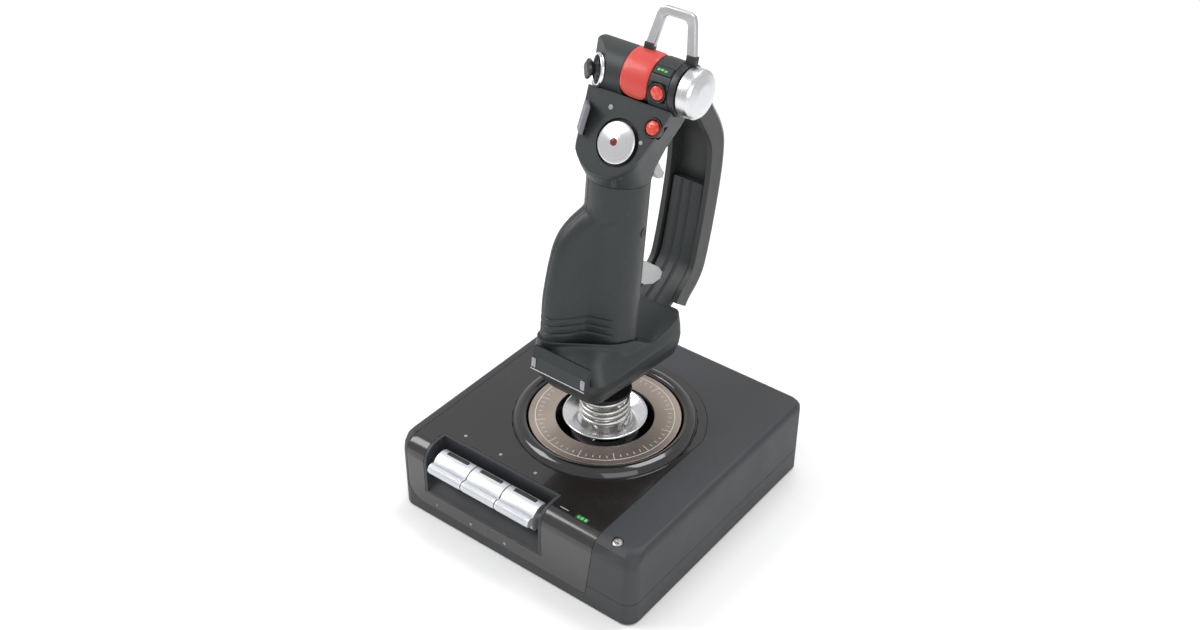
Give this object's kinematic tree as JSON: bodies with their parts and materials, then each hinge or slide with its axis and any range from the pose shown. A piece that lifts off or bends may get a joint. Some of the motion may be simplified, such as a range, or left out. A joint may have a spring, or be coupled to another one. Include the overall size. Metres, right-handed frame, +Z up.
{
  "type": "flight joystick",
  "caption": "Desktop flight joystick: weighted square base with rocker toggles, sprung two-axis gimbal, and a twisting grip with hand guard, trigger, hats, fire buttons and flip cover.",
  "frame": {"origin": "on the desk, under the centre of the base and of the gimbal", "axes": "+X to the user's right, +Y away from the user, +Z up"},
  "size_m": [0.185, 0.1986, 0.3301],
  "materials": {
    "charcoal_shell": "fine-grained matte charcoal",
    "gloss_panel": "glossy near-black",
    "black_plastic": "satin black",
    "grip_plastic": "fine-grained dark grey",
    "silver_plastic": "metallic silver lacquer",
    "steel": "bright steel",
    "warm_metal": "brushed, warm grey",
    "chrome": "polished",
    "red_cover": "satin salmon red",
    "lit_button": "translucent orange-red",
    "status_green": "lit green",
    "rubber": "matte black",
    "circuit_board": "green solder mask",
    "grey_pad": "soft grey"
  },
  "bodies": {
    "base": {"base_tray": "charcoal_shell", "base_shell": "charcoal_shell", "panel_insert": "gloss_panel", "rubber_foot_1": "rubber", "rubber_foot_2": "rubber", "rubber_foot_3": "rubber", "rubber_foot_4": "rubber", "top_screw": "steel", "weight_plate_left": "steel", "weight_plate_right": "steel", "main_circuit_board": "circuit_board", "cable_gland": "rubber", "toggle_bezel": "charcoal_shell", "toggle_axle": "steel", "gloss_ring": "gloss_panel", "gimbal_plate": "warm_metal", "gimbal_housing": "black_plastic", "gimbal_pedestal": "black_plastic", "tilt_sensor_board": "circuit_board"},
    "toggle_1": {"toggle_1": "silver_plastic"},
    "toggle_2": {"toggle_2": "silver_plastic"},
    "toggle_3": {"toggle_3": "silver_plastic"},
    "gimbal_ring": {"gimbal_ring": "silver_plastic"},
    "shaft": {"stick_shaft": "steel", "tilt_magnet": "silver_plastic", "spring_collar": "black_plastic", "centring_spring": "steel"},
    "dish": {"centring_dish": "chrome"},
    "handle": {"grip_shell_left": "grip_plastic", "grip_shell_right": "grip_plastic", "head_shell": "grip_plastic", "face_plate": "grip_plastic", "head_circuit_board": "circuit_board", "status_lens": "status_green", "fire_a_bezel": "black_plastic", "fire_b_bezel": "black_plastic", "small_hat_bezel": "chrome", "hand_guard": "grip_plastic", "guard_trim": "silver_plastic", "trigger_pin": "steel", "pinkie_pin": "steel", "twist_bearing": "black_plastic", "twist_sensor": "circuit_board"},
    "hand_rest": {"hand_rest": "grip_plastic"},
    "latch_lever": {"latch_lever": "chrome"},
    "fire_a_button": {"fire_a_button": "lit_button"},
    "fire_b_button": {"fire_b_button": "lit_button"},
    "launch_button": {"launch_button": "red_cover"},
    "thumb_button": {"thumb_button": "grey_pad"},
    "hat_ring": {"hat_ring": "black_plastic"},
    "hat_cap": {"hat_cap": "silver_plastic"},
    "small_hat_ring": {"small_hat_ring": "black_plastic"},
    "small_hat_cap": {"small_hat_cap": "black_plastic"},
    "cover": {"safety_cover": "red_cover", "bail": "silver_plastic", "bail_collar": "black_plastic"},
    "mode_knob": {"mode_knob": "silver_plastic"},
    "trigger": {"trigger": "silver_plastic"},
    "pinkie_lever": {"pinkie_lever": "silver_plastic"}
  },
  "joints": [
    {"name": "toggle_1_rock", "type": "hinge", "parent": "base", "child": "toggle_1", "pos_m": [-0.0505, -0.08585, 0.041], "axis": [1, 0, 0], "range_deg": [-10, 10], "stiffness_Nm_per_rad": 0.06},
    {"name": "toggle_2_rock", "type": "hinge", "parent": "base", "child": "toggle_2", "pos_m": [-0.0232, -0.08585, 0.041], "axis": [1, 0, 0], "range_deg": [-10, 10], "stiffness_Nm_per_rad": 0.06},
    {"name": "toggle_3_rock", "type": "hinge", "parent": "base", "child": "toggle_3", "pos_m": [0.0041, -0.08585, 0.041], "axis": [1, 0, 0], "range_deg": [-10, 10], "stiffness_Nm_per_rad": 0.06},
    {"name": "stick_pitch", "type": "hinge", "parent": "base", "child": "gimbal_ring", "pos_m": [0, 0, 0.044], "axis": [1, 0, 0], "range_deg": [-12, 12], "stiffness_Nm_per_rad": 5},
    {"name": "stick_roll", "type": "hinge", "parent": "gimbal_ring", "child": "shaft", "pos_m": [0, 0, 0.044], "axis": [0, 1, 0], "range_deg": [-12, 12], "stiffness_Nm_per_rad": 5},
    {"name": "dish_lift", "type": "slide", "parent": "shaft", "child": "dish", "axis": [0, 0, 1], "range_m": [0, 0.008], "stiffness_N_per_m": 800, "springref_m": -0.01, "deforming": ["centring_spring"]},
    {"name": "stick_twist", "type": "hinge", "parent": "shaft", "child": "handle", "pos_m": [0, 0, 0.135], "axis": [0, 0, 1], "range_deg": [-20, 20], "stiffness_Nm_per_rad": 1.5},
    {"name": "hand_rest_height", "type": "slide", "parent": "handle", "child": "hand_rest", "axis": [0, 0.1045, 0.9945], "range_m": [0, 0.015]},
    {"name": "latch_flip", "type": "hinge", "parent": "hand_rest", "child": "latch_lever", "pos_m": [0, -0.04228, 0.12615], "axis": [-1, 0, 0], "range_deg": [0, 45]},
    {"name": "fire_a_press", "type": "slide", "parent": "handle", "child": "fire_a_button", "axis": [0, 0.9945, -0.1045], "range_m": [0, 0.0012], "stiffness_N_per_m": 1200, "springref_m": -0.0008},
    {"name": "fire_b_press", "type": "slide", "parent": "handle", "child": "fire_b_button", "axis": [0, 0.8607, -0.509], "range_m": [0, 0.0012], "stiffness_N_per_m": 1200, "springref_m": -0.0008},
    {"name": "launch_press", "type": "slide", "parent": "handle", "child": "launch_button", "axis": [0, 0.9945, -0.1045], "range_m": [0, 0.0012], "stiffness_N_per_m": 1200, "springref_m": -0.0008},
    {"name": "thumb_press", "type": "slide", "parent": "handle", "child": "thumb_button", "axis": [0.7222, 0.6374, -0.2687], "range_m": [0, 0.001], "stiffness_N_per_m": 1200, "springref_m": -0.0008},
    {"name": "hat_up_down", "type": "hinge", "parent": "handle", "child": "hat_ring", "pos_m": [0.007, 0.00419, 0.2549], "axis": [1, 0, 0], "range_deg": [-8, 8], "stiffness_Nm_per_rad": 0.15},
    {"name": "hat_left_right", "type": "hinge", "parent": "hat_ring", "child": "hat_cap", "pos_m": [0.007, 0.00419, 0.2549], "axis": [0, 0.509, 0.8607], "range_deg": [-8, 8], "stiffness_Nm_per_rad": 0.15},
    {"name": "small_hat_up_down", "type": "hinge", "parent": "handle", "child": "small_hat_ring", "pos_m": [-0.01609, 0.01917, 0.28821], "axis": [0.7964, -0.6015, 0.0632], "range_deg": [-8, 8], "stiffness_Nm_per_rad": 0.15},
    {"name": "small_hat_left_right", "type": "hinge", "parent": "small_hat_ring", "child": "small_hat_cap", "pos_m": [-0.01609, 0.01917, 0.28821], "axis": [0.0607, 0.1834, 0.9812], "range_deg": [-8, 8], "stiffness_Nm_per_rad": 0.15},
    {"name": "cover_lift", "type": "hinge", "parent": "handle", "child": "cover", "pos_m": [0, 0.02501, 0.28901], "axis": [-1, 0, 0], "range_deg": [0, 45]},
    {"name": "mode_turn", "type": "hinge", "parent": "handle", "child": "mode_knob", "pos_m": [0, 0.02501, 0.28901], "axis": [1, 0, 0], "range_deg": [-30, 30]},
    {"name": "trigger_pull", "type": "hinge", "parent": "handle", "child": "trigger", "pos_m": [0, 0.02785, 0.23944], "axis": [-1, 0, 0], "range_deg": [0, 10], "stiffness_Nm_per_rad": 0.5, "springref_deg": -5.73},
    {"name": "pinkie_squeeze", "type": "hinge", "parent": "handle", "child": "pinkie_lever", "pos_m": [0, 0.0193, 0.16291], "axis": [-1, 0, 0], "range_deg": [0, 5], "stiffness_Nm_per_rad": 0.8, "springref_deg": -4.58}
  ]
}
